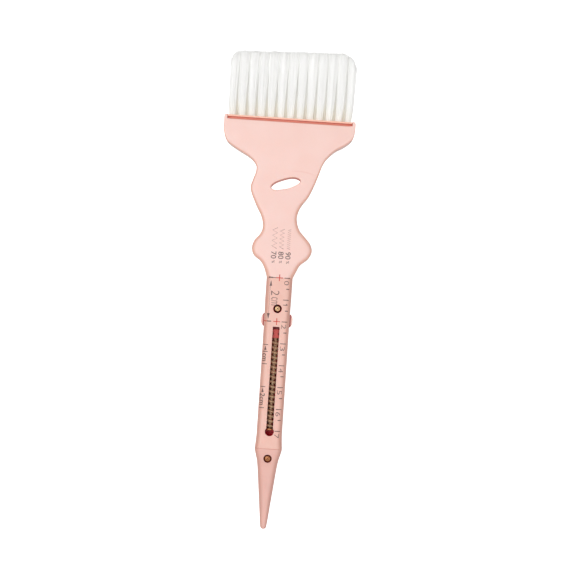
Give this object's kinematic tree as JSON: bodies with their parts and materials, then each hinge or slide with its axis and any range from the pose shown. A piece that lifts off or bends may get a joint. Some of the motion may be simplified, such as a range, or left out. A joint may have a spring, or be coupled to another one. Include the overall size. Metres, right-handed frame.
{
  "type": "tint brush",
  "caption": "Wide flat hair-tint brush: staggered nylon tufts in a shaped head with a leaf hole, on a slim handle with a printed scale and a spring-return thumb slide.",
  "frame": {"origin": "centre of the length and width, on the plane of the flat back that it lies on", "axes": "+Y along the handle to the bristle tips, +X to the right of the printed front face, +Z out of the printed front face"},
  "size_m": [0.06, 0.22, 0.01],
  "materials": {
    "blush_plastic": "satin moulded",
    "coral_plastic": "satin moulded",
    "rose_plastic": "satin moulded",
    "nylon": "satin filament",
    "brass": "satin",
    "steel": "drawn"
  },
  "bodies": {
    "handle": {"head_paddle": "blush_plastic", "bristle_block": "coral_plastic", "tuft_anchors": "steel", "tuft_front_01": "nylon", "tuft_front_02": "nylon", "tuft_front_03": "nylon", "tuft_front_04": "nylon", "tuft_front_05": "nylon", "tuft_front_06": "nylon", "tuft_front_07": "nylon", "tuft_front_08": "nylon", "tuft_front_09": "nylon", "tuft_front_10": "nylon", "tuft_front_11": "nylon", "tuft_front_12": "nylon", "tuft_front_13": "nylon", "tuft_back_01": "nylon", "tuft_back_02": "nylon", "tuft_back_03": "nylon", "tuft_back_04": "nylon", "tuft_back_05": "nylon", "tuft_back_06": "nylon", "tuft_back_07": "nylon", "tuft_back_08": "nylon", "tuft_back_09": "nylon", "tuft_back_10": "nylon", "tuft_back_11": "nylon", "tuft_back_12": "nylon", "front_shell": "blush_plastic", "back_shell": "blush_plastic", "tail": "blush_plastic", "upper_screw": "brass", "lower_screw": "brass", "return_spring": "brass", "guide_rod": "steel", "spring_washer": "brass"},
    "thumb_slide": {"slide": "rose_plastic"}
  },
  "joints": [
    {"name": "slide_travel", "type": "slide", "parent": "handle", "child": "thumb_slide", "axis": [0, -1, 0], "range_m": [0, 0.02], "stiffness_N_per_m": 1200, "springref_m": -0.002, "deforming": ["return_spring"]}
  ]
}
